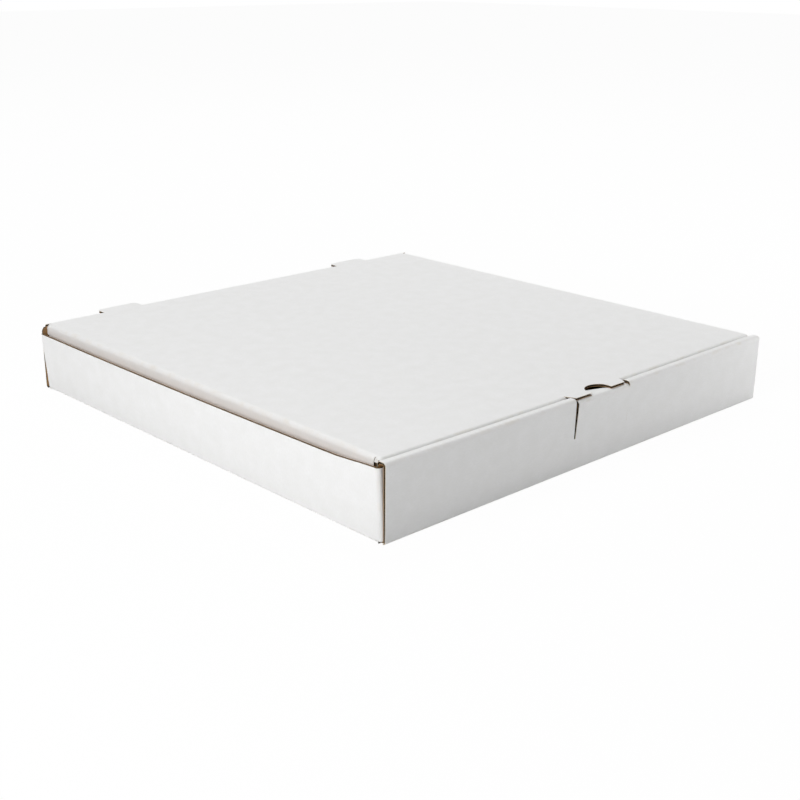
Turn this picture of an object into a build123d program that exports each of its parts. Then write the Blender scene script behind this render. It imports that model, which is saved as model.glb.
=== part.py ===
from build123d import *
import math
import os

# Pizza box folded from one sheet of E-flute corrugated board, closed.
# The origin is on the underside, at the centre of the footprint. X runs along the front wall,
# Y from the front wall to the hinge crease, Z up. Every length is in millimetres.

# Outside sizes
WIDTH = 330.0
DEPTH = 333.0
HEIGHT = 43.5
SIDE_HEIGHT = 39.0

# Board and its folds
BOARD = 1.5
SLACK = 0.3
CREASE = 0.4
LAP = 3.0

# Front wall: two leaves joined by a rounded strip along the top
ROLL_WIDTH = 6.3
ROLL_RADIUS = 2.2
LOCK_TAB_WIDTH = 36.0
LOCK_TAB_SPACING = 190.0
LOCK_TAB_RECESS = 0.3

# Latch: a tongue between two slits in the front wall, and the lid's tab that lies over it
TONGUE_WIDTH = 50.0
SLIT_WIDTH = 0.8
SLIT_DEPTH = 23.8
STEP_DEPTH = 8.0
TAB_ROOT_WIDTH = 48.0
TAB_FRONT_WIDTH = 45.0
TAB_SETBACK = 2.4
NOTCH_RADIUS = 9.5

# Side walls: they lean outwards from the fold, and are sprung out further at mid-length
SIDE_FLARE = 2.0
SIDE_BOW = 2.8
BEND = 2.4
FRONT_CORNER_FLAP = 46.0
REAR_CORNER_FLAP = 40.0

# Rear wall, hinge crease and steam vents
HINGE_INSET = 2.6
HINGE_GAP = 0.3
VENT_SPACING = 208.0
VENT_WIDTH = 30.0
VENT_REACH = 10.0
VENT_RADIUS = 3.0
VENT_CLEARANCE = 0.4

# Lid
LID_SIDE_GAP = 1.7
LID_FRONT_GAP = 0.7
LID_FOLD = 3.0
SIDE_FLAP_DROP = 32.0
SIDE_FLAP_MITRE = 8.0
SIDE_FLAP_END_GAP = 2.0
TUCK_DROP = 30.0
TUCK_LEAN = 3.5
TUCK_CORNER = 12.0

# Lines and levels worked out from the sizes above
HALF = BOARD / 2
FOLD = CREASE + BOARD
FOLD_MIDDLE = CREASE + HALF
ROLL_MIDDLE = ROLL_RADIUS - HALF
LID_MIDDLE = LID_FOLD - HALF
FRONT = -DEPTH / 2
REAR = DEPTH / 2
SIDE = WIDTH / 2
WALL_FOOT = FOLD + SLACK
HINGE_Y = REAR - HALF
HINGE_Z = HEIGHT - HALF
FRONT_FLAP_Y = FRONT + BOARD + SLACK
REAR_FLAP_Y = REAR - BOARD - SLACK
SIDE_RUN_FRONT = FRONT_FLAP_Y + BEND
SIDE_RUN_REAR = REAR_FLAP_Y - BEND
LEAF_Y = FRONT + ROLL_WIDTH - HALF
STEP_Z = HEIGHT - STEP_DEPTH
TONGUE_TOP = HEIGHT - BOARD - SLACK
LID_REAR = HINGE_Y - HALF - HINGE_GAP
LID_SIDE = SIDE - BOARD - LID_SIDE_GAP
LID_FRONT = FRONT + ROLL_WIDTH + LID_FRONT_GAP
LID_PANEL_SIDE = LID_SIDE - LID_FOLD
LID_PANEL_FRONT = LID_FRONT + LID_FOLD
SIDE_FLAP_FRONT = LID_PANEL_FRONT + BOARD
SIDE_FLAP_REAR = REAR_FLAP_Y - BOARD - SIDE_FLAP_END_GAP
TAB_FRONT = FRONT + TAB_SETBACK
TAB_FOLD_LENGTH = LID_MIDDLE * math.pi / 2
TAB_WINDOW_Z = HEIGHT - LID_FOLD - (LID_PANEL_FRONT - TAB_FRONT - TAB_FOLD_LENGTH)


def folded_board(plane, path, radii):
    """Section of the board along a folded path of middle points, on a plane."""
    with BuildSketch(plane) as section:
        with BuildLine():
            FilletPolyline(*path, radius=radii)
        trace(line_width=BOARD)
    return section.sketch


def side_run(start, end, bow):
    """A side wall's long face seen from above, straight or sprung outwards to the left."""
    if bow == 0:
        return Line(start, end)
    return ThreePointArc(start, (start[0] - bow, 0), end)


def side_wall_plan(level, flare, bow):
    """The left side wall and its two corner flaps seen from above, at one level."""
    front_tip = FRONT_CORNER_FLAP - SIDE
    rear_tip = REAR_CORNER_FLAP - SIDE
    outer_x = -SIDE - flare
    inner_x = outer_x + BOARD
    bend_x = outer_x + BEND
    with BuildSketch(Plane.XY.offset(level)) as plan:
        with BuildLine():
            front = Line((front_tip, FRONT_FLAP_Y), (bend_x, FRONT_FLAP_Y))
            front_bend = TangentArc(front @ 1, (outer_x, SIDE_RUN_FRONT), tangent=(-1, 0))
            outside = side_run((outer_x, SIDE_RUN_FRONT), (outer_x, SIDE_RUN_REAR), bow)
            rear_bend = TangentArc(outside @ 1, (bend_x, REAR_FLAP_Y), tangent=(0, 1))
            rear = Line(rear_bend @ 1, (rear_tip, REAR_FLAP_Y))
            rear_end = Line(rear @ 1, (rear_tip, REAR_FLAP_Y - BOARD))
            rear_back = Line(rear_end @ 1, (bend_x, REAR_FLAP_Y - BOARD))
            rear_turn = TangentArc(rear_back @ 1, (inner_x, SIDE_RUN_REAR), tangent=(-1, 0))
            inside = side_run((inner_x, SIDE_RUN_REAR), (inner_x, SIDE_RUN_FRONT), bow)
            front_turn = TangentArc(inside @ 1, (bend_x, FRONT_FLAP_Y + BOARD), tangent=(0, -1))
            front_back = Line(front_turn @ 1, (front_tip, FRONT_FLAP_Y + BOARD))
            Line(front_back @ 1, front @ 0)
        make_face()
    return plan.sketch


# Tray: base, double front wall, side walls with corner flaps, rear wall
with BuildPart() as tray:
    # Base panel between the four folds
    with BuildSketch():
        Rectangle(WIDTH - 2 * FOLD, DEPTH - 2 * FOLD)
    extrude(amount=BOARD)

    # Front wall: up from the base, over the rounded strip and down inside to the base
    front_path = [
        (FRONT + FOLD + LAP, HALF),
        (FRONT + HALF, HALF),
        (FRONT + HALF, HINGE_Z),
        (LEAF_Y, HINGE_Z),
        (LEAF_Y, BOARD + SLACK),
    ]
    front_section = folded_board(Plane.YZ.offset(-SIDE), front_path, [FOLD_MIDDLE, ROLL_MIDDLE, ROLL_MIDDLE])
    extrude(front_section, amount=WIDTH, dir=(1, 0, 0))

    # Lock tabs under the inner leaf, each in its slot through the base
    with BuildSketch():
        with Locations((0, LEAF_Y)):
            with GridLocations(LOCK_TAB_SPACING, 0, 2, 1):
                Rectangle(LOCK_TAB_WIDTH + 2 * SLACK, BOARD + 2 * SLACK)
    extrude(amount=BOARD, mode=Mode.SUBTRACT)
    with BuildSketch(Plane.XY.offset(LOCK_TAB_RECESS)):
        with Locations((0, LEAF_Y)):
            with GridLocations(LOCK_TAB_SPACING, 0, 2, 1):
                Rectangle(LOCK_TAB_WIDTH, BOARD)
    extrude(amount=LAP)

    # Latch: slits beside the tongue, and its top pressed down by one board's thickness
    with BuildSketch(Plane.XZ.offset(-FRONT)):
        with Locations((0, STEP_Z)):
            Rectangle(TONGUE_WIDTH, HEIGHT, align=(Align.CENTER, Align.MIN))
        with Locations((0, HEIGHT - SLIT_DEPTH)):
            with GridLocations(TONGUE_WIDTH - SLIT_WIDTH, 0, 2, 1):
                Rectangle(SLIT_WIDTH, SLIT_DEPTH, align=(Align.CENTER, Align.MIN))
    extrude(amount=-ROLL_WIDTH, mode=Mode.SUBTRACT)
    tongue_path = [
        (FRONT + HALF, STEP_Z),
        (FRONT + HALF, TONGUE_TOP - HALF),
        (LEAF_Y, TONGUE_TOP - HALF),
        (LEAF_Y, STEP_Z),
    ]
    tongue_side = TONGUE_WIDTH / 2 - SLIT_WIDTH
    tongue_section = folded_board(Plane.YZ.offset(-tongue_side), tongue_path, [ROLL_MIDDLE, ROLL_MIDDLE])
    extrude(tongue_section, amount=2 * tongue_side, dir=(1, 0, 0))

    # Rear wall: up from the base to the rounded crease that carries the lid
    rear_path = [(REAR - FOLD - LAP, HALF), (HINGE_Y, HALF), (HINGE_Y, HINGE_Z)]
    with BuildSketch(Plane.YZ.offset(-SIDE)):
        with BuildLine():
            FilletPolyline(*rear_path, radius=FOLD_MIDDLE)
        trace(line_width=BOARD)
        with Locations((HINGE_Y, HINGE_Z)):
            Circle(HALF)
    extrude(amount=WIDTH, dir=(1, 0, 0))

    # The rear wall's ends slant in to the crease, and the vent tabs leave a hole each
    with BuildSketch(Plane.XZ.offset(-REAR)):
        with BuildLine():
            Polyline((-SIDE, SIDE_HEIGHT), (HINGE_INSET - SIDE, HEIGHT), (-SIDE, HEIGHT), close=True)
        make_face()
        mirror(about=Plane.YZ)
        with Locations((0, HINGE_Z)):
            with GridLocations(VENT_SPACING, 0, 2, 1):
                RectangleRounded(
                    VENT_WIDTH + 2 * VENT_CLEARANCE,
                    2 * (VENT_REACH + HALF + VENT_CLEARANCE),
                    VENT_RADIUS + VENT_CLEARANCE,
                )
    extrude(amount=BOARD, mode=Mode.SUBTRACT)

    # Side walls with their corner flaps, and their folds to the base
    wall_foot = side_wall_plan(WALL_FOOT, 0, 0)
    left_wall = loft([wall_foot, side_wall_plan(SIDE_HEIGHT, SIDE_FLARE, SIDE_BOW)], ruled=True)
    mirror(left_wall, about=Plane.YZ)
    side_path = [(LAP + FOLD - SIDE, HALF), (HALF - SIDE, HALF), (HALF - SIDE, WALL_FOOT)]
    side_section = folded_board(Plane.XZ.offset(-SIDE_RUN_FRONT), side_path, FOLD_MIDDLE)
    left_fold = extrude(side_section, amount=SIDE_RUN_REAR - SIDE_RUN_FRONT, dir=(0, 1, 0))
    mirror(left_fold, about=Plane.YZ)

tray.part.label = "tray"

# Lid: top panel, tuck flap, side flaps, latch tab with its finger notch, vent tabs
with BuildPart() as lid:
    # Tuck flap, leaning inwards so that it clears the front wall as the lid opens
    tuck_lean = (TUCK_DROP - HALF) * math.tan(math.radians(TUCK_LEAN))
    tuck_path = [
        (LID_PANEL_FRONT + LAP, HINGE_Z),
        (LID_FRONT + HALF, HINGE_Z),
        (LID_FRONT + HALF + tuck_lean, HEIGHT - TUCK_DROP),
    ]
    tuck_section = folded_board(Plane.YZ.offset(-LID_PANEL_SIDE), tuck_path, LID_MIDDLE)
    extrude(tuck_section, amount=2 * LID_PANEL_SIDE, dir=(1, 0, 0))
    fillet(faces().sort_by(Axis.Z)[0].edges().sort_by(SortBy.LENGTH)[:2], TUCK_CORNER)

    # Window that the latch tab and the finger notch leave in the tuck flap
    with BuildSketch(Plane.XZ.offset(-LID_FRONT)):
        with BuildLine():
            Polyline(
                (-TAB_FRONT_WIDTH / 2, TAB_WINDOW_Z),
                (-TAB_ROOT_WIDTH / 2, HEIGHT),
                (TAB_ROOT_WIDTH / 2, HEIGHT),
                (TAB_FRONT_WIDTH / 2, TAB_WINDOW_Z),
                close=True,
            )
        make_face()
        with Locations((0, TAB_WINDOW_Z)):
            Circle(NOTCH_RADIUS)
    extrude(amount=-LID_FOLD, mode=Mode.SUBTRACT)

    # Side flaps, mitred at their lower corners
    flap_path = [
        (LAP - LID_PANEL_SIDE, HINGE_Z),
        (HALF - LID_SIDE, HINGE_Z),
        (HALF - LID_SIDE, HEIGHT - SIDE_FLAP_DROP),
    ]
    flap_section = folded_board(Plane.XZ.offset(-SIDE_FLAP_FRONT), flap_path, LID_MIDDLE)
    left_flap = extrude(flap_section, amount=SIDE_FLAP_REAR - SIDE_FLAP_FRONT, dir=(0, 1, 0))
    mirror(left_flap, about=Plane.YZ)
    chamfer(edges().group_by(Axis.Z)[0].filter_by(Axis.X), SIDE_FLAP_MITRE)

    # Top panel with the latch tab in front and the two vent tabs behind
    with BuildSketch(Plane.XY.offset(HEIGHT - BOARD)):
        with BuildLine():
            Polyline(
                (-TAB_FRONT_WIDTH / 2, TAB_FRONT),
                (-TAB_ROOT_WIDTH / 2, LID_PANEL_FRONT),
                (-LID_PANEL_SIDE, LID_PANEL_FRONT),
                (-LID_PANEL_SIDE, SIDE_FLAP_REAR),
                (-LID_SIDE, SIDE_FLAP_REAR),
                (-LID_SIDE, LID_REAR),
                (0, LID_REAR),
                (0, TAB_FRONT),
                close=True,
            )
        make_face()
        mirror(about=Plane.YZ)
        with Locations((0, REAR + VENT_REACH)):
            with GridLocations(VENT_SPACING, 0, 2, 1):
                RectangleRounded(VENT_WIDTH, 2 * VENT_REACH, VENT_RADIUS, align=(Align.CENTER, Align.MAX))
        with Locations((0, TAB_FRONT)):
            Circle(NOTCH_RADIUS, mode=Mode.SUBTRACT)
    extrude(amount=BOARD)

lid.part.label = "lid"

os.makedirs("parts", exist_ok=True)
export_step(tray.part, "parts/tray.step")
export_step(lid.part, "parts/lid.step")
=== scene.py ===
"""A pizza box folded from one sheet of white-lined corrugated board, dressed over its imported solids."""

import logging
import math
from collections.abc import Callable, Iterable, Sequence
from dataclasses import dataclass, field
from enum import IntEnum

import bmesh
import bpy
from mathutils import Matrix, Vector


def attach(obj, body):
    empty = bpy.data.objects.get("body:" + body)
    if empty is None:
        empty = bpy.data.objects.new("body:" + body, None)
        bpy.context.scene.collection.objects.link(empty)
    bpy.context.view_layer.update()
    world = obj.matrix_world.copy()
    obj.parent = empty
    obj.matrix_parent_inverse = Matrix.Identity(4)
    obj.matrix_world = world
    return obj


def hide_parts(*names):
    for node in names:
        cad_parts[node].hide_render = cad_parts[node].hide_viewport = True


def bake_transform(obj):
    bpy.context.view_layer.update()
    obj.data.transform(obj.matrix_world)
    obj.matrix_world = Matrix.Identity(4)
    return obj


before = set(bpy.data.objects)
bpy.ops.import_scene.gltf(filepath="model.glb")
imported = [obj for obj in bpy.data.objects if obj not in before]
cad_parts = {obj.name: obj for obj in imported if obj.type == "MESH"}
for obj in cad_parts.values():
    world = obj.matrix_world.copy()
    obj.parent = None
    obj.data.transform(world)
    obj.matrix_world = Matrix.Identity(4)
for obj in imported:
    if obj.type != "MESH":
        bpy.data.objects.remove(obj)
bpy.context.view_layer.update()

# Sizes in the classes are millimetres, as in the blank's drawing; each mesh is scaled to metres once.
MM = 0.001
# Slack for comparing two places on the flat sheet.
NEAR = 0.01

log = logging.getLogger("pizza_box")

Value = float | int | str | bool | tuple | bpy.types.NodeSocket


class Face(IntEnum):
    """Which of a piece's materials a face of the board takes."""

    OUTSIDE = 0
    INSIDE = 1
    CUT_EDGE = 2
    FLUTES = 3


def linear(code: str) -> tuple[float, float, float, float]:
    """Turns an sRGB hex colour into linear RGBA.

    Args:
        code: Six hex digits after a hash.

    Returns:
        The colour as Blender's sockets take it.
    """
    parts = [int(code[i : i + 2], 16) / 255 for i in (1, 3, 5)]
    red, green, blue = (c / 12.92 if c <= 0.04045 else ((c + 0.055) / 1.055) ** 2.4 for c in parts)
    return red, green, blue, 1.0


def smooth(share: float) -> float:
    """Eases a share that runs from 0 to 1, and holds it there outside that range."""
    held = min(1.0, max(0.0, share))
    return held * held * (3 - 2 * held)


def stations(marks: Iterable[float], step: float = 8.0) -> list[float]:
    """Lines across the sheet at every mark, with more between marks that are far apart.

    Args:
        marks: Positions that need a line of their own.
        step: Widest gap to leave between two lines.

    Returns:
        All the positions, in order.
    """
    ordered = sorted(set(round(mark, 4) for mark in marks))
    lines = ordered[:1]
    for start, end in zip(ordered, ordered[1:]):
        count = max(1, math.ceil((end - start) / step))
        lines += [start + (end - start) * i / count for i in range(1, count + 1)]
    return lines


def bend_lines(start: float, length: float, count: int = 7) -> list[float]:
    """Lines across a bend, so that it turns evenly."""
    return [start + length * i / count for i in range(count + 1)]


@dataclass(frozen=True)
class Board:
    """E-flute board: a white liner outside, a kraft liner inside and the waved medium between them.

    Its real flutes are 3.4 mm apart and its liners 0.2 mm thick. Both are drawn a little coarser, so that
    the render still shows them.

    Attributes:
        thickness: From face to face.
        liner: Thickness of each liner.
        medium: Thickness of the medium.
        pitch: From one flute to the next.
        wave: Height of a flute over the middle of the board.
        wave_steps: Faces along one flute.
        groove: How deep a cut edge opens between the liners.
        draft: How much narrower that groove is at its bottom, on each side.
        recess: How far behind a cut the medium starts.
        root: How far past the groove's bottom it reaches.
    """

    thickness: float = 1.5
    liner: float = 0.3
    medium: float = 0.17
    pitch: float = 3.6
    wave: float = 0.4
    wave_steps: int = 10
    groove: float = 1.4
    draft: float = 0.004
    recess: float = 0.3
    root: float = 0.1

    def medium_height(self, v: float) -> float:
        """How deep under the outside face the medium's wave runs at a place on the sheet."""
        return (self.thickness - self.medium) / 2 + self.wave * math.sin(2 * math.pi * v / self.pitch)


@dataclass(frozen=True)
class Crease:
    """A fold across the sheet, at a constant u (axis 0) or v (axis 1).

    Attributes:
        axis: Which flat direction the fold is crossed in.
        line: Where the bend starts.
        side: 1 or -1, the way in which the moved part lies.
        radius: Radius of the outside face.
        moves: Says of a flat position whether it belongs to the part that the fold turns.
        degrees: How far it turns.
    """

    axis: int
    line: float
    side: int
    radius: float
    moves: Callable[[float, float], bool]
    degrees: float = 90.0

    @property
    def length(self) -> float:
        """How much of the sheet's outside face the bend takes."""
        return self.radius * math.radians(self.degrees)

    def carry(self, point: Vector, flat: Vector, level: float, inward: int) -> Vector:
        """Turns a point of the sheet round this fold.

        Args:
            point: Where the folds further out have left it.
            flat: Where it was on the flat sheet.
            level: Height of the flat sheet's outside face.
            inward: 1 or -1, the way to the inside of the box.

        Returns:
            Where it lies after this fold.
        """
        past = self.side * (flat[self.axis] - self.line)
        if past <= 0 or not self.moves(flat.x, flat.y):
            return point
        outward, inner = Vector((0, 0, 0)), Vector((0, 0, inward))
        outward[self.axis] = self.side
        origin = Vector((0, 0, level))
        origin[self.axis] = self.line
        arc = min(past, self.length)
        sine, cosine = math.sin(arc / self.radius), math.cos(arc / self.radius)
        rest = point - origin - outward * arc
        along, deep = rest.dot(outward), rest.dot(inner)
        turned = outward * (cosine * along - sine * deep) + inner * (sine * along + cosine * deep)
        corner = origin + outward * self.radius * sine + inner * self.radius * (1 - cosine)
        return corner + turned + rest - outward * along - inner * deep


@dataclass
class Blank:
    """A sheet that is cut flat, given its thickness, and folded up.

    Attributes:
        board: What it is cut from.
        level: Height of its outside face while it is flat.
        inward: 1 or -1, the way to the inside of the box.
        settle: Moves a folded point, given with its flat one, to where the used board has settled.
        mesh: The outside face.
        flutes: The medium where a cut crosses it.
    """

    board: Board
    level: float
    inward: int
    settle: Callable[[Vector, Vector], Vector]
    mesh: bmesh.types.BMesh = field(default_factory=bmesh.new)
    flutes: bmesh.types.BMesh = field(default_factory=bmesh.new)

    def cut(self, us: Sequence[float], vs: Sequence[float], keeps: Callable[[float, float], bool]) -> None:
        """Lays out the flat sheet and removes what the die cuts away.

        Args:
            us: Lines across the box.
            vs: Lines from front to rear.
            keeps: Says of a flat position whether the sheet is there.
        """
        columns, rows = len(us) - 1, len(vs) - 1
        bmesh.ops.create_grid(self.mesh, x_segments=columns, y_segments=rows, size=1.0)
        for vert in self.mesh.verts:
            column, row = (round((c + 1) / 2 * count) for c, count in zip(vert.co.xy, (columns, rows)))
            vert.co = (us[column], vs[row], self.level)
        waste = [face for face in self.mesh.faces if not keeps(*face.calc_center_median().xy)]
        bmesh.ops.delete(self.mesh, geom=waste, context="FACES")
        if self.inward > 0:
            bmesh.ops.reverse_faces(self.mesh, faces=self.mesh.faces[:])

    def trim(self, centre: tuple[float, float], radius: float, reach: tuple[float, float], hole: bool) -> None:
        """Cuts the sheet along a circle's arc, which rounds a corner or punches a hole.

        Args:
            centre: The circle's centre on the sheet.
            radius: The circle's radius.
            reach: Signs of u and v that the arc lies to, 0 where it takes both.
            hole: Whether the sheet inside the circle goes, and not the corner outside it.
        """
        middle, steps = Vector((*centre, self.level)), 32

        def within(place: Vector) -> bool:
            """Whether a place lies in the part of the circle's square that the arc cuts."""
            near = [place[i] - middle[i] for i in (0, 1)]
            return all(abs(d) < radius and (not s or d * s > 0) for d, s in zip(near, reach))

        angles = [(i + 0.5) * 2 * math.pi / steps for i in range(steps)]
        normals = [Vector((math.cos(a), math.sin(a), 0)) for a in angles]
        chords = [n for n in normals if within(middle + n * radius * 0.5)]
        apothem = radius * math.cos(math.pi / steps)
        for normal in chords:
            faces = [face for face in self.mesh.faces if within(face.calc_center_median())]
            self.split(faces, middle + normal * apothem, normal)
        waste = []
        for face in self.mesh.faces:
            place = face.calc_center_median()
            if within(place):
                outside = max((place - middle).dot(normal) for normal in chords) > apothem
                if outside != hole:
                    waste.append(face)
        bmesh.ops.delete(self.mesh, geom=waste, context="FACES")

    def slice_corner(self, corner: tuple[float, float], reach: tuple[float, float]) -> None:
        """Cuts a corner of the sheet off along a straight line.

        Args:
            corner: The corner's place on the sheet.
            reach: How far the cut lies from it along u and along v, with the signs of the way into the sheet.
        """
        middle = Vector((corner[0] + reach[0] / 2, corner[1] + reach[1] / 2, self.level))
        normal = Vector((-1 / reach[0], -1 / reach[1], 0)).normalized()

        def within(face: bmesh.types.BMFace) -> bool:
            """Whether a face lies in the rectangle that the cut crosses."""
            place = face.calc_center_median()
            return all(abs(place[i] - middle[i]) < abs(reach[i]) / 2 for i in (0, 1))

        self.split([face for face in self.mesh.faces if within(face)], middle, normal)
        waste = [f for f in self.mesh.faces if within(f) and (f.calc_center_median() - middle).dot(normal) > 0]
        bmesh.ops.delete(self.mesh, geom=waste, context="FACES")

    def split(self, faces: Sequence[bmesh.types.BMFace], place: Vector, normal: Vector) -> None:
        """Splits some faces of the flat sheet along a line.

        Args:
            faces: The faces.
            place: A place on the line.
            normal: The line's normal in the sheet.
        """
        edges, verts = {e for f in faces for e in f.edges}, {v for f in faces for v in f.verts}
        geom = [*verts, *edges, *faces]
        bmesh.ops.bisect_plane(self.mesh, geom=geom, dist=1e-4, plane_co=place, plane_no=normal)

    def fill_flutes(self) -> None:
        """Adds the waved medium behind every cut that crosses the flutes, which run across the box."""
        runs: dict[tuple[float, int], list[list[float]]] = {}
        for edge in self.mesh.edges:
            one, two = (vert.co for vert in edge.verts)
            if edge.is_boundary and abs(one.x - two.x) < 1e-3:
                way = 1 if edge.link_faces[0].calc_center_median().x > one.x else -1
                runs.setdefault((round(one.x, 2), way), []).append(sorted((one.y, two.y)))
        for (u, way), spans in sorted(runs.items()):
            joined: list[list[float]] = []
            for low, high in sorted(spans):
                if joined and low - joined[-1][1] < 1e-3:
                    joined[-1][1] = high
                else:
                    joined.append([low, high])
            for low, high in joined:
                self.lay_strip(u, way, low, high)
        grown = bmesh.ops.extrude_face_region(self.flutes, geom=self.flutes.faces[:], use_keep_orig=True)["geom"]
        verts = [item for item in grown if isinstance(item, bmesh.types.BMVert)]
        bmesh.ops.translate(self.flutes, vec=(0, 0, self.inward * self.board.medium), verts=verts)
        bmesh.ops.recalc_face_normals(self.flutes, faces=self.flutes.faces[:])

    def lay_strip(self, u: float, way: int, low: float, high: float) -> None:
        """Lays one strip of the medium, from just behind a cut to the end of its groove.

        Args:
            u: Where the cut is.
            way: 1 or -1, the way into the board.
            low: Where the cut starts.
            high: Where it ends.
        """
        board = self.board
        count = max(1, round((high - low) / board.pitch * board.wave_steps))
        made = bmesh.ops.create_grid(self.flutes, x_segments=1, y_segments=count, size=1.0)
        for vert in made["verts"]:
            v = low + (high - low) * (vert.co.y + 1) / 2
            depth = board.recess if vert.co.x * way < 0 else board.groove + board.root
            vert.co = (u + way * depth, v, self.level + self.inward * board.medium_height(v))

    def thicken(self, joined: Callable[[Vector], bool]) -> None:
        """Gives the flat sheet its thickness, and opens its cut edges between the two liners.

        Args:
            joined: Says of a flat position whether another piece carries on there, so that the edge stays shut.
        """
        mesh, board = self.mesh, self.board
        outside = set(mesh.faces)
        made = bmesh.ops.solidify(mesh, geom=mesh.faces[:], thickness=board.thickness)
        inside = {item for item in made["geom"] if isinstance(item, bmesh.types.BMFace)}
        for face in inside:
            face.material_index = Face.INSIDE
        rim = [face for face in mesh.faces if face not in outside and face not in inside]
        for face in rim:
            face.material_index = Face.CUT_EDGE
        opened = [face for face in rim if not all(joined(vert.co) for vert in face.verts)]
        banded = bmesh.ops.inset_region(mesh, faces=opened, thickness=board.liner, use_even_offset=True)["faces"]
        for face in banded:
            if any(near.material_index == Face.INSIDE for edge in face.edges for near in edge.link_faces):
                face.material_index = Face.INSIDE
        walls = bmesh.ops.inset_region(
            mesh, faces=opened, thickness=board.draft, depth=-board.groove, use_even_offset=True
        )["faces"]
        # The groove's walls and floor take the medium's colour, which is darkened as painted shade for the recess
        for face in [*opened, *walls]:
            face.material_index = Face.FLUTES

    def fold(self, creases: Sequence[Crease]) -> None:
        """Folds the sheet and its medium, and lets them settle.

        Args:
            creases: The folds, the outermost first.
        """
        for mesh in (self.mesh, self.flutes):
            flat = mesh.verts.layers.float_vector.new("flat")
            bend = mesh.verts.layers.float.new("crease")
            for vert in mesh.verts:
                vert[flat] = vert.co
                place = vert[flat].copy()
                for crease in creases:
                    past = crease.side * (place[crease.axis] - crease.line)
                    if 0 <= past <= crease.length and crease.moves(place.x, place.y):
                        vert[bend] = math.sin(math.pi * past / crease.length)
                    vert.co = crease.carry(vert.co, place, self.level, self.inward)
                vert.co = self.settle(vert.co, place)


@dataclass(frozen=True)
class Finish:
    """One material made of nodes.

    Attributes:
        name: The real material's name.
    """

    name: str

    def start(self) -> tuple[bpy.types.Material, bpy.types.Node]:
        """Makes the material.

        Returns:
            The material, and its surface shader.
        """
        made = bpy.data.materials.new(self.name)
        made.use_nodes = True
        return made, made.node_tree.nodes["Principled BSDF"]


def add(tree: bpy.types.NodeTree, kind: str, inputs: dict[str | int, Value], **settings: Value) -> bpy.types.Node:
    """Adds one node with its settings, values and links.

    Args:
        tree: The node tree it goes into.
        kind: Blender's name for the node, without its ShaderNode start.
        inputs: A value or the socket that feeds it, for each input's name or place.
        settings: The node's own properties.

    Returns:
        The node.
    """
    made = tree.nodes.new(f"ShaderNode{kind}")
    for key, value in settings.items():
        setattr(made, key, value)
    for key, value in inputs.items():
        if isinstance(value, bpy.types.NodeSocket):
            tree.links.new(value, made.inputs[key])
        else:
            made.inputs[key].default_value = value
    return made


@dataclass(frozen=True)
class Liner(Finish):
    """A paper liner, smooth and matt, with the clouding and the fibres of its pulp.

    Attributes:
        light: Colour of most of it.
        dark: Colour of its darkest clouds and fibres.
        worn: Colour of its broken fibres along a crease.
        cloud: Size of the clouding, in millimetres. The real fibres are 1 to 3 mm long.
        roughness: Its mean roughness.
        ripple: How far the flutes under it show as ripples, in millimetres.
    """

    light: str
    dark: str
    worn: str
    cloud: float
    roughness: float
    ripple: float

    def make(self) -> bpy.types.Material:
        """Builds the material on the sheet's own flat coordinates, so that its grain follows the folds.

        Returns:
            The material.
        """
        made, surface = self.start()
        tree = made.node_tree
        sheet = add(tree, "UVMap", {}, uv_map="blank").outputs["UV"]
        clouds = add(
            tree, "TexNoise", {"Vector": sheet, "Scale": 1 / (self.cloud * MM), "Detail": 5.0}
        ).outputs["Fac"]
        stretched = add(tree, "Mapping", {"Vector": sheet, "Scale": (0.35, 1.0, 1.0)}).outputs["Vector"]
        fibres = add(
            tree, "TexNoise", {"Vector": stretched, "Scale": 1 / (0.7 * MM), "Detail": 3.0, "Distortion": 0.4}
        ).outputs["Fac"]
        mottle = add(tree, "Math", {0: clouds, 1: fibres}, operation="MULTIPLY").outputs[0]
        shade = add(
            tree, "MapRange", {"Value": mottle, "From Min": 0.12, "From Max": 0.42, "To Min": 1.0, "To Max": 0.0}
        ).outputs["Result"]
        paper = add(
            tree, "Mix", {"Factor": shade, 6: linear(self.light), 7: linear(self.dark)}, data_type="RGBA"
        ).outputs[2]
        crease = add(tree, "Attribute", {}, attribute_name="crease").outputs["Fac"]
        rubbed = add(
            tree, "MapRange", {"Value": clouds, "From Min": 0.45, "From Max": 0.7, "To Min": 0.0, "To Max": 0.6}
        ).outputs["Result"]
        wear = add(tree, "Math", {0: crease, 1: rubbed}, operation="MULTIPLY").outputs[0]
        colour = add(tree, "Mix", {"Factor": wear, 6: paper, 7: linear(self.worn)}, data_type="RGBA").outputs[2]
        rough = add(
            tree,
            "MapRange",
            {"Value": clouds, "To Min": self.roughness - 0.06, "To Max": self.roughness + 0.06},
        ).outputs["Result"]
        ripples = add(
            tree,
            "TexWave",
            {"Vector": sheet, "Scale": 2 * math.pi / (20 * Board.pitch * MM), "Distortion": 0.6, "Detail": 1.0},
            wave_type="BANDS",
            bands_direction="Y",
        ).outputs["Fac"]
        rippled = add(tree, "Bump", {"Strength": 1.0, "Distance": self.ripple * MM, "Height": ripples})
        grained = add(
            tree, "Bump", {"Strength": 0.35, "Distance": 0.03 * MM, "Height": fibres, "Normal": rippled.outputs[0]}
        )
        for name, source in (("Base Color", colour), ("Roughness", rough), ("Normal", grained.outputs[0])):
            tree.links.new(source, surface.inputs[name])
        surface.inputs["IOR"].default_value = 1.47
        return made


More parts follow.
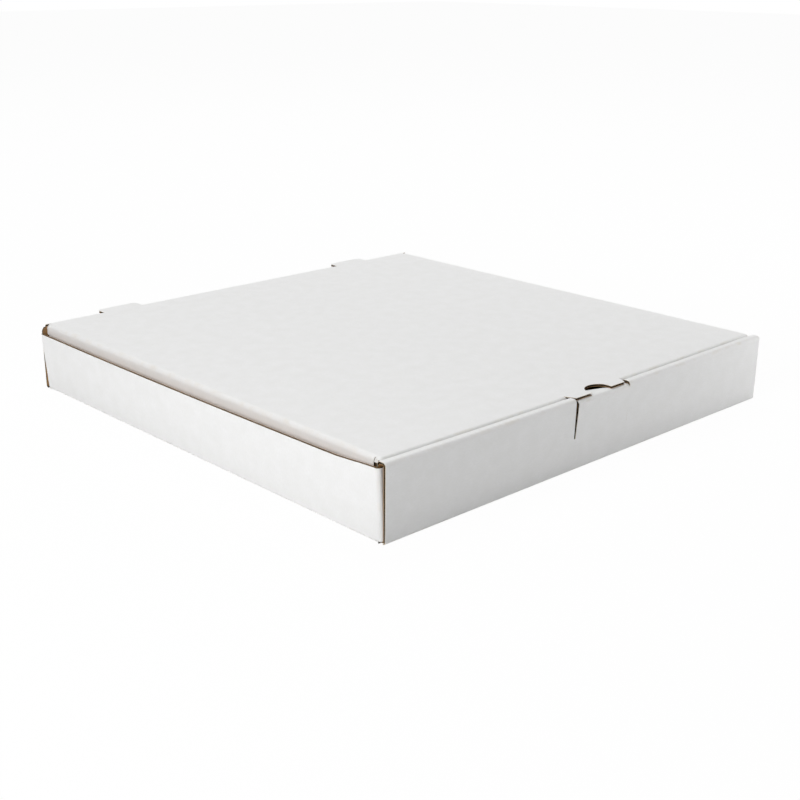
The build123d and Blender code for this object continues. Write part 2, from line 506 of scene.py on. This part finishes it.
@dataclass(frozen=True)
class CutFibre(Finish):
    """Paper where the die has cut it or where it is never pressed smooth: matt, with loose fibres.

    Attributes:
        light: Colour of its fibre ends.
        dark: Colour between them.
        grain: Size of its grain, in millimetres.
    """

    light: str
    dark: str
    grain: float

    def make(self) -> bpy.types.Material:
        """Builds the material on object coordinates, because a cut edge has no width on the sheet.

        Returns:
            The material.
        """
        made, surface = self.start()
        tree = made.node_tree
        place = add(tree, "TexCoord", {}).outputs["Object"]
        grain = add(tree, "TexNoise", {"Vector": place, "Scale": 1 / (self.grain * MM), "Detail": 4.0}).outputs["Fac"]
        shade = add(tree, "MapRange", {"Value": grain, "From Min": 0.35, "From Max": 0.65}).outputs["Result"]
        colour = add(
            tree, "Mix", {"Factor": shade, 6: linear(self.dark), 7: linear(self.light)}, data_type="RGBA"
        ).outputs[2]
        bump = add(tree, "Bump", {"Strength": 0.5, "Distance": 0.1 * MM, "Height": grain})
        tree.links.new(colour, surface.inputs["Base Color"])
        tree.links.new(bump.outputs[0], surface.inputs["Normal"])
        surface.inputs["Roughness"].default_value = 0.9
        surface.inputs["IOR"].default_value = 1.47
        return made


@dataclass
class Finishes:
    """The box's finishes, each made once."""

    def __post_init__(self) -> None:
        """Makes every material."""
        # Bleached kraft liner: calendered white paper, a matt cool white with the faintest clouding
        self.white = Liner(
            "bleached_kraft_liner", "#F3F3F3", "#EDEDEC", "#E3DED4", cloud=9, roughness=0.6, ripple=0.012
        ).make()
        # Unbleached kraft liner: the plain brown paper of the inside, flecked and a little rougher
        self.kraft = Liner(
            "kraft_liner", "#B8905F", "#96714A", "#A07A50", cloud=5, roughness=0.78, ripple=0.03
        ).make()
        # Cut edge of the liners: pale torn fibres that catch the light as a thin cream line
        self.edge = CutFibre("cut_liner_edge", "#E4DACA", "#C9B79C", grain=0.5).make()
        # Semi-chemical fluting medium: coarse brown recycled paper, its colour darkened to near black as painted
        # shade for the recess between the liners
        self.medium = CutFibre("fluting_medium_painted_shade", "#3C2F22", "#1B140E", grain=0.8).make()
        # The board's materials, in the order of Face
        self.skins = [self.white, self.kraft, self.edge, self.medium]


@dataclass
class Panel:
    """What the tray and the lid share: a blank with its creases, made into dressed pieces.

    Attributes:
        finishes: The box's materials.
        board: What the box is cut from.
        half_side: Half the side of the box, over which its edges bow.
        latch: How far the latch sits to the right of the middle on this box.
        front_lean: How far the front edge leans outwards along all its length.
        front_bow: How much further it is sprung out at its middle.
    """

    finishes: Finishes
    board: Board = field(default_factory=Board)
    half_side: float = 165.0
    latch: float = 0.2
    front_lean: float = 0.3
    front_bow: float = 2.0

    def bowed(self, x: float) -> float:
        """Says how far the front edge stands out at a place along it."""
        return self.front_lean + self.front_bow * (1 - min(1.0, abs(x) / self.half_side) ** 2)

    def dress(self, mesh: bmesh.types.BMesh, name: str, materials: Sequence[bpy.types.Material]) -> bpy.types.Object:
        """Turns a finished mesh into a piece in metres, with its flat coordinates as a UV map.

        Args:
            mesh: The mesh in millimetres, used up by this.
            name: The piece's name.
            materials: Its materials, in the order of its face indices.

        Returns:
            The piece.
        """
        flat = mesh.verts.layers.float_vector["flat"]
        sheet = mesh.loops.layers.uv.new("blank")
        for face in mesh.faces:
            face.smooth = True
            for loop in face.loops:
                loop[sheet].uv = loop.vert[flat].xy * MM
        bmesh.ops.scale(mesh, vec=(MM, MM, MM), verts=mesh.verts[:])
        data = bpy.data.meshes.new(name)
        mesh.to_mesh(data)
        mesh.free()
        data.attributes.remove(data.attributes["flat"])
        data.set_sharp_from_angle(angle=math.radians(32))
        for material in materials:
            data.materials.append(material)
        made = bpy.data.objects.new(name, data)
        bpy.context.scene.collection.objects.link(made)
        log.info("%s: %d faces", name, len(data.polygons))
        return made

    def assemble(self, blank: Blank, body: str) -> None:
        """Dresses the folded blank, and puts its two pieces on their body.

        Args:
            blank: The folded blank.
            body: The CAD node and body it stands for.
        """
        sheet = self.dress(blank.mesh, f"{body}_board", self.finishes.skins)
        # The fluting piece takes the medium's colour, which is darkened as painted shade
        flutes = self.dress(blank.flutes, f"{body}_fluting", [self.finishes.medium])
        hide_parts(body)
        for piece in (sheet, flutes):
            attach(piece, body)


@dataclass
class Tray(Panel):
    """Base, double front wall with its latch tongue, side walls with corner flaps, and rear wall.

    Attributes:
        base: Where the creases beside the base and those before and behind it start, from its middle.
        front_ends: Left and right end of the front wall.
        end: Half the rear wall's length.
        fold: Outside radius of the creases round the base.
        roll: Outside radius of the front wall's two top creases.
        roll_top: Flat strip between these two.
        panel: Height of the front wall between its creases.
        leaf: Height of its inner leaf without the lock tabs.
        lock_recess: How far the lock tabs reach past the leaf, into the base.
        lock_tabs: Where each lock tab starts and ends, from the middle.
        lock_slot: Front and rear edge of the slots that the lock tabs stand in.
        side_drop: Height of a side wall above its crease.
        side_run: Half a side wall's length, up to its corner flaps' creases.
        flap_foot: Where the bends of the corner flaps start, from the middle.
        flap_bend: Outside radius of these bends.
        flaps: Length of a front and of a rear corner flap.
        rear_drop: Height of the rear wall above its crease.
        slant: Size, across and down, of the cut at the rear wall's upper corners.
        vents: Where each vent hole starts and ends, from the middle.
        vent_drop: Height of the vent holes.
        tongue: Outer edges of the tongue's left and right slit, from the latch's middle.
        slits: Width of the left and of the right slit.
        slit_depth: How far the slits reach down from the top.
        slit_taper: How far each side of the left slit leans in to close it at its foot, and over what width.
        height: Height of the closed box.
        side_foot: Height from which the side walls lean.
        side_height: Height of the side walls.
        side_tilt: How much a side wall's rim falls towards the rear, for each millimetre from its middle.
        side_flare: How far a side wall's rim leans out all along.
        side_bow: How much further out it stands at the middle of its bow.
        bow: Where that middle lies, and half the length that the bow would have if the wall went on.
        side_pinch: How much less far out the rim stands at the front corner.
        flap_slack: How far back the top of the front corner flap's bend stands.
        corner_run: Length of side wall over which the pinch and the slack grow.
        relief: How much lower a rear corner flap is than its wall.
        pressed: How far the tongue is pressed down under the lid's tab.
        bulge: How far the tongue is pushed back behind the notch, and how much less it is pressed there.
        bulge_half: Half the width of that part.
        bulge_skew: Width, to the right of the notch's middle, in which the push dies out.
        crushed: How far the front wall's right top corner is crushed, and over what length.
    """

    base: tuple[float, float] = (163.1, 164.6)
    front_ends: tuple[float, float] = (-164.3, 163.5)
    end: float = 165.0
    fold: float = 1.9
    roll: float = 2.2
    roll_top: float = 1.9
    panel: float = 39.4
    leaf: float = 39.5
    lock_recess: float = 1.5
    lock_tabs: tuple[float, float] = (77.0, 113.0)
    lock_slot: tuple[float, float] = (-162.0, -159.9)
    side_drop: float = 37.1
    side_run: float = 162.3
    flap_foot: float = 165.3
    flap_bend: float = 2.4
    flaps: tuple[float, float] = (43.6, 37.6)
    rear_drop: float = 39.3
    slant: tuple[float, float] = (1.3, 2.2)
    vents: tuple[float, float] = (88.6, 119.4)
    vent_drop: float = 9.0
    tongue: tuple[float, float] = (23.6, 24.4)
    slits: tuple[float, float] = (2.5, 0.08)
    slit_depth: float = 23.8
    slit_taper: tuple[float, float] = (0.65, 6.0)
    height: float = 43.5
    side_foot: float = 2.2
    side_height: float = 39.0
    side_tilt: float = 0.0068
    side_flare: float = 2.5
    side_bow: float = 2.4
    bow: tuple[float, float] = (-40.0, 200.0)
    side_pinch: float = 2.7
    flap_slack: float = 1.3
    corner_run: float = 30.0
    relief: float = 2.2
    pressed: float = 1.7
    bulge: tuple[float, float] = (3.5, 0.3)
    bulge_half: float = 9.5
    bulge_skew: float = 11.0
    crushed: tuple[float, float] = (0.6, 10.0)

    def __post_init__(self) -> None:
        """Works out the lines of the flat sheet."""
        quarter = math.pi / 2
        self.side_start = self.base[0] + self.fold * quarter
        self.side_end = self.side_start + self.side_drop
        self.turn = self.side_run + self.flap_bend * quarter
        self.front_start = -self.base[1] - self.fold * quarter
        self.roll_start = self.front_start - self.panel
        self.roll_mid = self.roll_start - self.roll * quarter
        self.roll_back = self.roll_mid - self.roll_top
        self.leaf_start = self.roll_back - self.roll * quarter
        self.leaf_end = self.leaf_start - self.leaf
        self.slit_ends = (
            self.roll_start + self.slit_depth - self.roll,
            self.leaf_start - self.slit_depth + self.roll,
        )
        self.rear_start = self.base[1] + self.fold * quarter
        self.rear_end = self.rear_start + self.rear_drop

    def in_slit(self, u: float, v: float) -> bool:
        """Says whether a flat position lies in one of the two slits beside the tongue.

        Args:
            u: Its place across the box.
            v: Its place from front to rear.

        Returns:
            Whether it does.
        """
        off = u - self.latch
        half, width = self.tongue[off > 0], self.slits[off > 0]
        return half - width < abs(off) < half and self.slit_ends[1] < v < self.slit_ends[0]

    def in_corner_flap(self, u: float) -> bool:
        """Whether a flat position beyond the side wall's ends belongs to its corner flaps."""
        return abs(u) > (self.end + self.flap_foot) / 2

    def keeps(self, u: float, v: float) -> bool:
        """Says whether the tray's part of the sheet covers a flat position.

        Args:
            u: Its place across the box.
            v: Its place from front to rear.

        Returns:
            Whether it does.
        """
        across, locks = abs(u), self.lock_tabs[0] < abs(u) < self.lock_tabs[1]
        if abs(v) < self.base[1] and across < self.base[0]:
            return not (locks and self.lock_slot[0] < v < self.lock_slot[1])
        if v < -self.base[1] and self.front_ends[0] < u < self.front_ends[1]:
            return (v > self.leaf_end or locks) and not self.in_slit(u, v)
        if v > self.base[1] and across < self.end:
            vented = self.vents[0] < across < self.vents[1] and v > self.rear_end - self.vent_drop
            return v < self.rear_end and not vented
        if across > self.flap_foot:
            low = v > self.turn and across > self.side_end - self.relief
            footed = abs(v) < self.turn or across > self.side_start
            return footed and -self.turn - self.flaps[0] < v < self.turn + self.flaps[1] and not low
        return self.base[0] < across and abs(v) < self.side_run

    def settle(self, point: Vector, flat: Vector) -> Vector:
        """Springs the walls outwards and presses the tongue down under the lid's tab.

        Args:
            point: The folded position.
            flat: The position on the flat sheet.

        Returns:
            The settled position.
        """
        in_side = abs(flat.y) < self.side_run + NEAR or self.in_corner_flap(flat.x)
        if abs(flat.x) > self.base[0] and in_side:
            return point + self.spring_side(point, flat)
        if flat.y < self.front_start:
            return point + self.spring_front(point, flat)
        return point

    def spring_side(self, point: Vector, flat: Vector) -> Vector:
        """Says how a point of a side wall or its corner flaps moves: the wall leans out, most near mid-length.

        Args:
            point: The folded position.
            flat: The position on the flat sheet.

        Returns:
            The way it moves.
        """
        rise = min(1.0, max(0.0, (point.z - self.side_foot) / (self.side_height - self.side_foot)))
        run = min(self.side_run, max(-self.side_run, flat.y))
        pinch = self.side_pinch * (1 - smooth((run + self.side_run) / self.corner_run))
        out = self.side_flare + self.side_bow * (1 - ((run - self.bow[0]) / self.bow[1]) ** 2) - pinch
        back = self.flap_slack * smooth((-run - self.side_run + self.corner_run) / self.corner_run)
        if flat.y < -self.side_run:
            back -= self.bowed(point.x) - self.front_lean
        return Vector((math.copysign(out * rise, flat.x), back * rise, -self.side_tilt * run * rise))

    def spring_front(self, point: Vector, flat: Vector) -> Vector:
        """Says how a point of the front wall moves: it bows, and its corner is crushed.

        Args:
            point: The folded position.
            flat: The position on the flat sheet.

        Returns:
            The way it moves.
        """
        rise = point.z / self.height
        crushed, length = self.crushed
        corner = smooth((point.x - self.front_ends[1] + length) / length)
        moved = Vector((0, -self.bowed(point.x) * rise, -crushed * corner * rise))
        if self.slit_ends[1] - NEAR < flat.y < self.slit_ends[0] + NEAR:
            self.press_tongue(moved, point, flat)
        return moved

    def press_tongue(self, moved: Vector, point: Vector, flat: Vector) -> None:
        """Presses the tongue down, pushes it back behind the notch and lets the left slit gape.

        Args:
            moved: The way a point of the front wall moves, changed by this.
            point: The folded position.
            flat: The position on the flat sheet.
        """
        off = flat.x - self.latch
        lean, width = self.slit_taper
        depth = min(1.0, max(0.0, (point.z - self.height + self.slit_depth) / self.slit_depth))
        from_slit = off + self.tongue[0] - self.slits[0] / 2
        near = max(0.0, 1 - max(0.0, abs(from_slit) - self.slits[0] / 2) / width)
        moved.x = -math.copysign(lean * (1 - depth) * near, from_slit)
        if 0 < from_slit and off < self.tongue[1] - self.slits[1] / 2:
            across = off - Lid.notch_off
            # The high power keeps the part behind the notch flat and its two sides steep
            sprung = max(0.0, 1 - (across / self.bulge_half) ** 8)
            moved.z = -(self.pressed - self.bulge[1] * sprung) * smooth(depth * 1.5)
            behind = smooth((self.roll_mid - flat.y) / self.roll_top)
            push = max(0.0, self.bulge[0] * (1 - across / self.bulge_skew))
            moved.y += push * sprung * behind * smooth(depth * 2.5 - 1.5)

    def creases(self) -> list[Crease]:
        """Lists the tray's folds.

        Returns:
            The folds, the outermost first.
        """

        def in_flap(u: float, v: float) -> bool:
            """Whether a flat position past a side wall's ends belongs to a corner flap."""
            return self.in_corner_flap(u)

        def in_side(u: float, v: float) -> bool:
            """Whether a flat position outside the base belongs to a side wall or its corner flaps."""
            return self.in_corner_flap(u) or abs(v) <= self.side_run

        def in_end(u: float, v: float) -> bool:
            """Whether a flat position before or behind the base belongs to the front or rear wall."""
            return not self.in_corner_flap(u)

        made = [Crease(1, end * self.side_run, end, self.flap_bend, in_flap) for end in (-1, 1)]
        made += [Crease(0, side * self.base[0], side, self.fold, in_side) for side in (-1, 1)]
        made += [Crease(1, line, -1, self.roll, in_end) for line in (self.roll_back, self.roll_start)]
        made += [Crease(1, end * self.base[1], end, self.fold, in_end) for end in (-1, 1)]
        return made

    def build(self) -> None:
        """Cuts, folds and dresses the tray."""
        blank = Blank(self.board, 0.0, 1, self.settle)
        half = [*bend_lines(self.base[0], self.side_start - self.base[0]), self.end, self.flap_foot]
        half += [self.side_end, self.side_end - self.relief, self.end - self.slant[0]]
        half += [*self.lock_tabs, *self.vents, HingeCrease.ends[-1][1]]
        slits = zip((-1, 1), self.tongue, self.slits)
        latch = [self.latch + s * (tongue - d) for s, tongue, w in slits for d in (0.0, w)]
        latch += [self.latch + Lid.notch_off + self.bulge_half * i / 6 for i in range(-6, 7)]
        us = stations([*half, *(-u for u in half), *latch, *self.front_ends])
        front = [
            *bend_lines(-self.base[1], self.front_start + self.base[1]),
            *bend_lines(self.roll_start, self.roll_mid - self.roll_start),
            *bend_lines(self.roll_back, self.leaf_start - self.roll_back),
            self.leaf_end,
            self.leaf_end - self.lock_recess,
            *self.slit_ends,
            *self.lock_slot,
        ]
        sides = [s * v for s in (-1, 1) for v in bend_lines(self.side_run, self.turn - self.side_run)]
        ends = [-self.turn - self.flaps[0], self.turn + self.flaps[1]]
        rear = [*bend_lines(self.base[1], self.rear_start - self.base[1]), self.rear_end]
        rear += [self.rear_end - self.vent_drop, self.rear_end - self.slant[1]]
        blank.cut(us, stations([*front, *sides, *ends, *rear, 0.0]), self.keeps)
        for side in (-1, 1):
            blank.slice_corner((side * self.end, self.rear_end), (-side * self.slant[0], -self.slant[1]))
        blank.fill_flutes()
        crease_end = HingeCrease.ends[-1][1] + NEAR
        blank.thicken(lambda flat: flat.y > self.rear_end - NEAR and abs(flat.x) < crease_end)
        blank.fold(self.creases())
        self.assemble(blank, "tray")


@dataclass
class Lid(Panel):
    """Top panel with its latch tab and vent tabs, side flaps, and tuck flap with the notch's other half.

    Attributes:
        panel: Where the creases at the sides start, from the middle.
        front: Where the tuck flap's crease starts.
        rear: Rear edge of the panel, where the hinge crease takes over.
        fold: Outside radius of the side flaps' creases.
        flap_fronts: Front edge of the left and of the right side flap.
        flap_rear: Rear end of the side flaps' top strip.
        flap_step: Rear edge of the flaps below that strip, and the strip's height.
        flap_drop: Height of the side flaps below their creases.
        flap_lean: How much further out their lower edges lean at mid-length.
        flap_out: How far out they lean at their ends.
        mitre: Size of the slanted cut at their corners.
        tuck_fold: Outside radius of the tuck flap's crease.
        tuck_drop: Height of the tuck flap below its crease.
        tuck_turn: How many degrees it is folded by.
        tuck_corner: Radius of its corners.
        tab: Half the latch tab's width, at its root and at its front.
        tab_front: Front edge of the latch tab.
        cut_gap: Width of the cut round the tab and beside the tuck flap.
        ear_gap: Width of the cut between a side flap's front edge and the corner of the tuck flap's bend.
        notch: Radius of the finger notch.
        notch_off: How far its middle lies to the right of the latch's.
        vents: Where each vent tab starts and ends, from the middle.
        vent_end: Rear edge of the vent tabs.
        vent_corner: Radius of their corners.
        height: Height of the closed box.
        bow_run: Where the front edge's bow starts to carry into the panel, and over what length it grows.
    """

    panel: float = 158.8
    front: float = -157.9
    rear: float = 164.2
    fold: float = 3.0
    flap_fronts: tuple[float, float] = (-155.0, -158.6)
    flap_rear: float = 164.9
    flap_step: tuple[float, float] = (162.8, 4.2)
    flap_drop: float = 29.0
    flap_lean: float = 2.6
    flap_out: float = 0.3
    mitre: float = 8.0
    tuck_fold: float = 1.6
    tuck_drop: float = 28.2
    tuck_turn: float = 93.5
    tuck_corner: float = 12.0
    tab: tuple[float, float] = (24.6, 21.5)
    tab_front: float = -164.3
    cut_gap: float = 0.4
    ear_gap: float = 0.4
    notch: float = 9.9
    notch_off: float = 0.9
    vents: tuple[float, float] = (89.0, 119.0)
    vent_end: float = 173.8
    vent_corner: float = 3.0
    height: float = 43.5
    bow_run: tuple[float, float] = (40.0, 200.0)

    def __post_init__(self) -> None:
        """Works out the lines of the flat sheet."""
        self.seam = self.panel - self.cut_gap / 2
        self.flap_start = self.panel + self.fold * math.pi / 2
        # The corners of the tuck flap's bend reach round the whole left side bend, and 3 of the right one's 7 strips
        self.ears = (self.flap_start, self.panel + self.fold * math.pi / 2 * 3 / 7)
        self.flap_end = self.flap_start + self.flap_drop
        self.tuck_start = self.front - self.tuck_fold * math.radians(self.tuck_turn)
        self.tuck_end = self.tuck_start - self.tuck_drop

    def in_tab(self, u: float, v: float, gap: float = 0.0) -> bool:
        """Whether a flat position lies in the latch tab, or in the cut round it as well."""
        return abs(u - self.latch) < self.tab[0] + gap and self.tab_front - gap < v < self.front

    def keeps(self, u: float, v: float) -> bool:
        """Says whether the lid's part of the sheet covers a flat position.

        Args:
            u: Its place across the box.
            v: Its place from front to rear.

        Returns:
            Whether it does.
        """
        across, ear, flap_front = abs(u), self.ears[u > 0], self.flap_fronts[u > 0]
        if v < self.front and across < ear:
            cut = self.in_tab(u, v, self.cut_gap) and not self.in_tab(u, v)
            return (v > self.tuck_start or across < self.seam) and not cut
        if across < self.panel:
            return v < self.rear or self.vents[0] < across < self.vents[1]
        if v > self.flap_step[0]:
            return v < self.flap_rear and across < self.flap_start + self.flap_step[1]
        return v > flap_front or across < self.ears[1] or (across < ear and v < flap_front - self.ear_gap)

    def settle(self, point: Vector, flat: Vector) -> Vector:
        """Carries the bow of the front wall into the lid, and tapers the tab.

        Args:
            point: The folded position.
            flat: The position on the flat sheet.

        Returns:
            The settled position.
        """
        start, run = self.bow_run
        share = smooth((start - flat.y) / run) if flat.y > self.front else 1.0
        moved = point + Vector((0, -self.bowed(point.x) * share, 0))
        off = flat.x - self.latch
        if abs(flat.x) > self.flap_start:
            hung = max(0.0, self.height - self.fold - point.z) / self.flap_drop
            lean = self.flap_out + self.flap_lean * (1 - (flat.y / self.half_side) ** 2)
            moved.x += math.copysign(lean * hung, flat.x)
        if self.in_tab(flat.x, flat.y, self.cut_gap + NEAR):
            taper = (self.tab[0] - self.tab[1]) * (self.front - flat.y) / (self.front - self.tab_front)
            moved.x -= off / self.tab[0] * taper
        return moved

    def creases(self) -> list[Crease]:
        """Lists the lid's folds.

        Returns:
            The folds, the outermost first.
        """
        made = [Crease(0, side * self.panel, side, self.fold, lambda u, v: True) for side in (-1, 1)]
        half = self.cut_gap / 2

        def in_tuck(u: float, v: float) -> bool:
            """Whether a flat position in front of the panel belongs to the tuck flap."""
            return abs(u) < self.ears[u > 0] + NEAR and not self.in_tab(u, v, half)

        made.append(Crease(1, self.front, -1, self.tuck_fold, in_tuck, self.tuck_turn))
        return made

    def build(self) -> None:
        """Cuts, trims, folds and dresses the lid."""
        blank = Blank(self.board, self.height, -1, self.settle)
        half = [*bend_lines(self.panel, self.flap_start - self.panel), self.flap_start + self.flap_step[1]]
        half += [self.flap_end, self.flap_end - self.mitre, self.panel - self.tuck_corner, self.seam]
        rounded = (self.vents[0] + self.vent_corner, self.vents[1] - self.vent_corner)
        half += [*self.vents, *rounded]
        tab, middle = [self.tab[0], self.tab[0] + self.cut_gap], self.latch + self.notch_off
        latch = [self.latch + s * d for s in (-1, 1) for d in tab]
        latch += [middle - self.notch, middle, middle + self.notch]
        us = stations([*half, *(-u for u in half), *latch])
        vs = stations(
            [
                *bend_lines(self.front, self.tuck_start - self.front),
                self.tab_front,
                self.tab_front - self.cut_gap,
                self.tab_front - self.notch,
                self.tab_front + self.notch,
                self.tuck_end,
                self.tuck_end + self.tuck_corner,
                *self.flap_fronts,
                self.flap_fronts[0] - self.ear_gap,
                *(front + self.mitre for front in self.flap_fronts),
                self.flap_rear,
                self.flap_step[0],
                self.flap_step[0] - self.mitre,
                self.rear,
                self.vent_end - self.vent_corner,
                self.vent_end,
            ]
        )
        blank.cut(us, vs, self.keeps)
        blank.trim((middle, self.tab_front), self.notch, (0, 0), hole=True)
        for side in (-1, 1):
            corner = (side * (self.panel - self.tuck_corner), self.tuck_end + self.tuck_corner)
            blank.trim(corner, self.tuck_corner, (side, -1), hole=False)
            for edge, way in zip(rounded, (-side, side)):
                corner = (side * edge, self.vent_end - self.vent_corner)
                blank.trim(corner, self.vent_corner, (way, 1), hole=False)
            for end, way in ((self.flap_fronts[side > 0], 1), (self.flap_step[0], -1)):
                blank.slice_corner((side * self.flap_end, end), (-side * self.mitre, way * self.mitre))
        blank.fill_flutes()
        blank.thicken(lambda flat: abs(flat.y - self.rear) < NEAR and abs(flat.x) < self.panel + NEAR)
        blank.fold(self.creases())
        self.assemble(blank, "lid")


@dataclass
class HingeCrease(Panel):
    """The crease between the rear wall and the lid, which on the real box bends as the lid opens; here it is only
    folded for the closed box.

    Attributes:
        ends: Left and right end of each of its strips.
        centre: The bend's centre, from front to rear and up.
        radius: Its outside radius.
        blend_start: Not used; where the crease would still move with the tray, from front to rear and up.
        blend_end: Not used; where it would move with the lid.
    """

    ends: tuple[tuple[float, float], ...] = ((-162.4, -119.4), (-88.6, 88.6), (119.4, 162.4))
    centre: tuple[float, float] = (Lid.rear, 41.2)
    radius: float = 2.3
    blend_start: tuple[float, float] = (165.0, 41.2)
    blend_end: tuple[float, float] = (164.2, 42.0)

    def build(self) -> None:
        """Cuts three strips between the vents and folds them over the crease."""
        length = self.radius * math.pi / 2
        crease = Crease(1, self.centre[0], 1, self.radius, lambda u, v: True)
        blank = Blank(self.board, self.centre[1] + self.radius, -1, lambda point, flat: point)
        us = stations([*(end for pair in self.ends for end in pair), -Lid.panel, Lid.panel])
        vs = bend_lines(self.centre[0], length, 14)
        blank.cut(us, vs, lambda u, v: any(low < u < high for low, high in self.ends))
        blank.fill_flutes()
        lid_edge, wall_edge = self.centre[0] + NEAR, self.centre[0] + length - NEAR
        blank.thicken(lambda flat: flat.y > wall_edge or (flat.y < lid_edge and abs(flat.x) < Lid.panel + NEAR))
        blank.fold([crease])
        # The fluting piece takes the medium's colour, which is darkened as painted shade
        for mesh, name, materials in (
            (blank.mesh, "hinge_crease", self.finishes.skins),
            (blank.flutes, "hinge_crease_fluting", [self.finishes.medium]),
        ):
            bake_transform(self.dress(mesh, name, materials))


@dataclass
class Studio:
    """Pale floor, soft plain light and the photograph's camera.

    Attributes:
        lens: The camera's focal length, in millimetres.
        sensor: Width of its sensor, in millimetres.
        place: Where it stands, in metres.
        yaw: How many degrees it looks to the right of the box's rear.
        pitch: How many degrees it looks down.
        roll: How many degrees it is turned about its view.
        aim: What the lamps look at, in metres.
        lamps: Each lamp's name, its place and size in metres, and its power in watts.
        room: Strength of the room's own light.
        ground: How much of the floor turns white for the camera, the rest being lit with its shadow.
    """

    lens: float = 57.38
    sensor: float = 36.0
    place: tuple[float, float, float] = (-0.54803, -0.58275, 0.27129)
    yaw: float = 43.364
    pitch: float = 19.060
    roll: float = 0.314
    aim: tuple[float, float, float] = (0.0, 0.0, 0.02)
    lamps: tuple[tuple[str, tuple[float, float, float], float, float], ...] = (
        ("key", (-1.7, -0.1, 0.9), 1.2, 10.2),
        ("side", (-0.85, -0.25, 0.4), 0.4, 2.7),
        ("top", (0.6, 0.7, 1.6), 1.2, 19.8),
        ("fill", (0.68, -0.46, 0.135), 0.22, 2.17),
    )
    room: float = 0.1
    ground: float = 0.97

    def camera(self) -> None:
        """Sets the camera where the photograph was taken from."""
        yaw, pitch, roll = (math.radians(a) for a in (self.yaw, self.pitch, self.roll))
        ahead = Vector((math.sin(yaw) * math.cos(pitch), math.cos(yaw) * math.cos(pitch), -math.sin(pitch)))
        level = Vector((math.cos(yaw), -math.sin(yaw), 0))
        above = level.cross(ahead)
        right = level * math.cos(roll) + above * math.sin(roll)
        up = above * math.cos(roll) - level * math.sin(roll)
        data = bpy.data.cameras.new("camera")
        data.lens, data.sensor_width = self.lens, self.sensor
        made = bpy.data.objects.new("camera", data)
        made.matrix_world = Matrix.Translation(self.place) @ Matrix((right, up, -ahead)).transposed().to_4x4()
        bpy.context.scene.collection.objects.link(made)
        bpy.context.scene.camera = made

    def lamp(self, name: str, place: tuple[float, float, float], size: float, power: float) -> None:
        """Adds one soft square lamp that looks at the box.

        Args:
            name: The lamp's name.
            place: Where it hangs, in metres.
            size: Length of its side, in metres.
            power: Its power in watts.
        """
        data = bpy.data.lights.new(name, "AREA")
        data.size, data.energy = size, power
        made = bpy.data.objects.new(name, data)
        made.location = place
        made.rotation_mode = "QUATERNION"
        made.rotation_quaternion = (Vector(self.aim) - Vector(place)).to_track_quat("-Z", "Y")
        bpy.context.scene.collection.objects.link(made)

    def white_for_camera(self, tree: bpy.types.NodeTree, lit: bpy.types.NodeSocket, share: float) -> bpy.types.Node:
        """Mixes plain white into a shader for what the camera, a reflection or a clear part sees of it.

        Args:
            tree: The node tree.
            lit: The shader as the light makes it.
            share: How much of it turns white there.

        Returns:
            The mixed shader's node.
        """
        path = add(tree, "LightPath", {}).outputs
        seen = add(tree, "Math", {0: path["Is Camera Ray"], 1: path["Is Glossy Ray"]}, operation="MAXIMUM").outputs[0]
        seen = add(tree, "Math", {0: seen, 1: path["Is Transmission Ray"]}, operation="MAXIMUM").outputs[0]
        part = add(tree, "Math", {0: seen, 1: share}, operation="MULTIPLY").outputs[0]
        white = add(tree, "Emission", {"Color": (1, 1, 1, 1), "Strength": 1.0}).outputs[0]
        return add(tree, "MixShader", {0: part, 1: lit, 2: white})

    def floor(self) -> None:
        """Lays a pale floor that looks white and still takes a faint shadow."""
        mesh = bmesh.new()
        bmesh.ops.create_grid(mesh, x_segments=1, y_segments=1, size=6.0)
        data = bpy.data.meshes.new("floor")
        mesh.to_mesh(data)
        mesh.free()
        made = bpy.data.objects.new("floor", data)
        bpy.context.scene.collection.objects.link(made)
        # Matt white sweep paper: gives the white ground, with the box's contact shadow left in it
        paper = bpy.data.materials.new("sweep_paper")
        paper.use_nodes = True
        tree = paper.node_tree
        tree.nodes.clear()
        matt = add(tree, "BsdfDiffuse", {"Color": linear("#FAFAFA"), "Roughness": 1.0}).outputs[0]
        mixed = self.white_for_camera(tree, matt, self.ground)
        add(tree, "OutputMaterial", {"Surface": mixed.outputs[0]})
        data.materials.append(paper)

    def world(self) -> None:
        """Fills the room with even light, and shows it white."""
        made = bpy.data.worlds.new("studio")
        bpy.context.scene.world = made
        made.use_nodes = True
        tree = made.node_tree
        tree.nodes.clear()
        room = add(tree, "Background", {"Color": (1, 1, 1, 1), "Strength": self.room}).outputs[0]
        mixed = self.white_for_camera(tree, room, 1.0)
        add(tree, "OutputWorld", {"Surface": mixed.outputs[0]})

    def build(self) -> None:
        """Sets up the camera, the floor and the light."""
        self.camera()
        self.floor()
        self.world()
        for lamp in self.lamps:
            self.lamp(*lamp)
        bpy.context.scene.view_settings.view_transform = "Standard"
        log.info("studio: camera, floor, world and %d lamps", len(self.lamps))


def main() -> None:
    """Builds the box and the studio."""
    logging.basicConfig(level=logging.INFO, format="%(name)s: %(message)s")
    Studio().build()
    finishes = Finishes()
    for part in (Tray(finishes), Lid(finishes), HingeCrease(finishes)):
        part.build()


if __name__ == "__main__":
    main()
